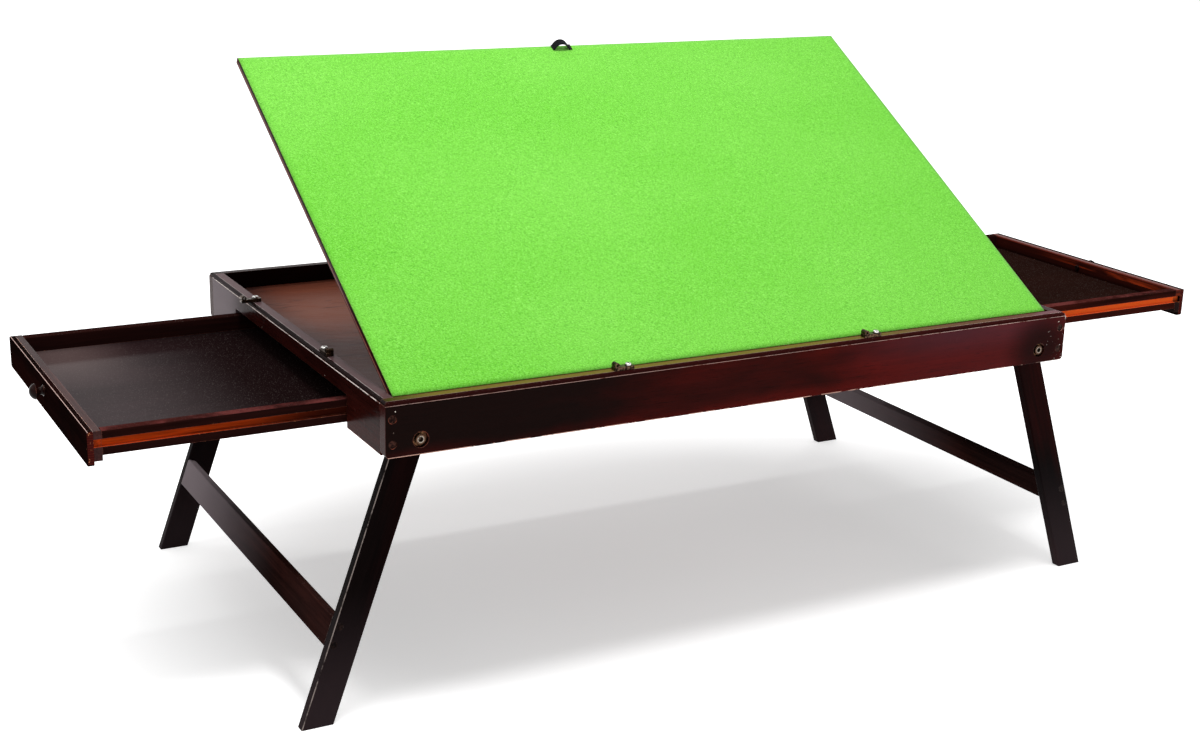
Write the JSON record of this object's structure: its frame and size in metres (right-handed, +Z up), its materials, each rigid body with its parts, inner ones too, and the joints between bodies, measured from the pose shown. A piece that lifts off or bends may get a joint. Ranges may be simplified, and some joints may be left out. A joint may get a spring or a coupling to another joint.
{
  "type": "jigsaw puzzle table with drawers",
  "caption": "Folding puzzle table: a shallow tray on splayed legs with a tilting felt board on a stepped prop, turn buttons round the rim and a drawer at each end.",
  "frame": {"origin": "middle of the whole outline on the floor, with the drawers pulled out and the board tilted as at rest", "axes": "+X along the table towards the right drawer, +Y towards the back, away from the hinged edge, +Z up"},
  "size_m": [1.44, 0.574, 0.612],
  "materials": {
    "case_wood": "glossy dark mahogany lacquer",
    "tray_wood": "satin red-brown lacquer",
    "inner_wood": "satin lacquer",
    "leg_wood": "glossy dark mahogany lacquer",
    "front_wood": "glossy dark mahogany lacquer",
    "side_wood": "satin dark lacquer",
    "floor_wood": "satin dark board",
    "knob_wood": "glossy turned wood",
    "prop_wood": "satin lacquer",
    "board_wood": "plywood with a stained edge",
    "felt": "soft green felt",
    "webbing": "dark woven webbing",
    "hinge_brass": "worn brass plate",
    "bolt_steel": "zinc plated",
    "screw_steel": "zinc plated",
    "button_brass": "antique brass"
  },
  "bodies": {
    "case": {"front_rail": "case_wood", "back_rail": "case_wood", "left_end_rail": "case_wood", "right_end_rail": "case_wood", "tray_floor": "tray_wood", "front_bay_wall": "inner_wood", "back_bay_wall": "inner_wood", "centre_divider": "inner_wood", "drawer_runners": "inner_wood", "corner_screws": "screw_steel", "rest_strips": "inner_wood", "rail_hinge_leaves": "hinge_brass", "leg_bolts": "bolt_steel", "leg_washers": "bolt_steel", "leg_nuts": "bolt_steel", "leg_spacers": "bolt_steel", "button_spacers": "button_brass", "button_screws": "screw_steel"},
    "left_legs": {"left_front_leg": "leg_wood", "left_back_leg": "leg_wood", "left_stretcher": "leg_wood", "left_stretcher_screws": "screw_steel"},
    "right_legs": {"right_front_leg": "leg_wood", "right_back_leg": "leg_wood", "right_stretcher": "leg_wood", "right_stretcher_screws": "screw_steel"},
    "left_drawer": {"left_drawer_outer_front": "front_wood", "left_drawer_inner_front": "front_wood", "left_drawer_front_side": "side_wood", "left_drawer_back_side": "side_wood", "left_drawer_back": "side_wood", "left_drawer_bottom": "floor_wood", "left_drawer_knob": "knob_wood", "left_drawer_knob_screw": "screw_steel"},
    "right_drawer": {"right_drawer_outer_front": "front_wood", "right_drawer_inner_front": "front_wood", "right_drawer_front_side": "side_wood", "right_drawer_back_side": "side_wood", "right_drawer_back": "side_wood", "right_drawer_bottom": "floor_wood", "right_drawer_knob": "knob_wood", "right_drawer_knob_screw": "screw_steel"},
    "board": {"board_panel": "board_wood", "board_felt": "felt", "pull_tab": "webbing", "board_hinge_leaves": "hinge_brass", "prop_board_leaves": "hinge_brass"},
    "prop": {"prop_leaves": "hinge_brass", "prop_head_bar": "prop_wood", "prop_left_arm": "prop_wood", "prop_right_arm": "prop_wood", "prop_foot_rod": "bolt_steel"},
    "left_front_button_body": {"left_front_button": "button_brass"},
    "left_back_button_body": {"left_back_button": "button_brass"},
    "right_front_button_body": {"right_front_button": "button_brass"},
    "right_back_button_body": {"right_back_button": "button_brass"},
    "front_left_button_body": {"front_left_button": "button_brass"},
    "front_right_button_body": {"front_right_button": "button_brass"},
    "back_left_button_body": {"back_left_button": "button_brass"},
    "back_right_button_body": {"back_right_button": "button_brass"}
  },
  "joints": [
    {"name": "board_tilt", "type": "hinge", "parent": "case", "child": "board", "pos_m": [-0.021, -0.2705, 0.3223], "axis": [1, 0, 0], "range_deg": [-30.5, 14.5]},
    {"name": "prop_swing", "type": "hinge", "parent": "board", "child": "prop", "pos_m": [-0.021, -0.04475, 0.45528], "axis": [1, 0, 0], "range_deg": [-29, 61]},
    {"name": "left_drawer_slide", "type": "slide", "parent": "case", "child": "left_drawer", "axis": [-1, 0, 0], "range_m": [-0.258, 0.062]},
    {"name": "right_drawer_slide", "type": "slide", "parent": "case", "child": "right_drawer", "axis": [1, 0, 0], "range_m": [-0.3, 0.02]},
    {"name": "left_legs_fold", "type": "hinge", "parent": "case", "child": "left_legs", "pos_m": [-0.4093, 0, 0.2955], "axis": [0, -1, 0], "range_deg": [0, 107.8]},
    {"name": "right_legs_fold", "type": "hinge", "parent": "case", "child": "right_legs", "pos_m": [0.3673, 0, 0.2955], "axis": [0, 1, 0], "range_deg": [0, 107.8]},
    {"name": "left_front_button_turn", "type": "hinge", "parent": "case", "child": "left_front_button_body", "pos_m": [-0.439, -0.101, 0.337], "axis": [0, 0, 1], "continuous": true},
    {"name": "left_back_button_turn", "type": "hinge", "parent": "case", "child": "left_back_button_body", "pos_m": [-0.439, 0.128, 0.337], "axis": [0, 0, 1], "continuous": true},
    {"name": "right_front_button_turn", "type": "hinge", "parent": "case", "child": "right_front_button_body", "pos_m": [0.397, -0.101, 0.337], "axis": [0, 0, 1], "continuous": true},
    {"name": "right_back_button_turn", "type": "hinge", "parent": "case", "child": "right_back_button_body", "pos_m": [0.397, 0.128, 0.337], "axis": [0, 0, 1], "continuous": true},
    {"name": "front_left_button_turn", "type": "hinge", "parent": "case", "child": "front_left_button_body", "pos_m": [-0.178, -0.28, 0.337], "axis": [0, 0, 1], "range_deg": [0, 180]},
    {"name": "front_right_button_turn", "type": "hinge", "parent": "case", "child": "front_right_button_body", "pos_m": [0.134, -0.28, 0.337], "axis": [0, 0, 1], "range_deg": [0, 180]},
    {"name": "back_left_button_turn", "type": "hinge", "parent": "case", "child": "back_left_button_body", "pos_m": [-0.178, 0.28, 0.337], "axis": [0, 0, 1], "continuous": true},
    {"name": "back_right_button_turn", "type": "hinge", "parent": "case", "child": "back_right_button_body", "pos_m": [0.134, 0.28, 0.337], "axis": [0, 0, 1], "continuous": true}
  ],
  "couplings": [
    {"joint": "prop_swing", "follows": "board_tilt", "ratio": -2}
  ]
}
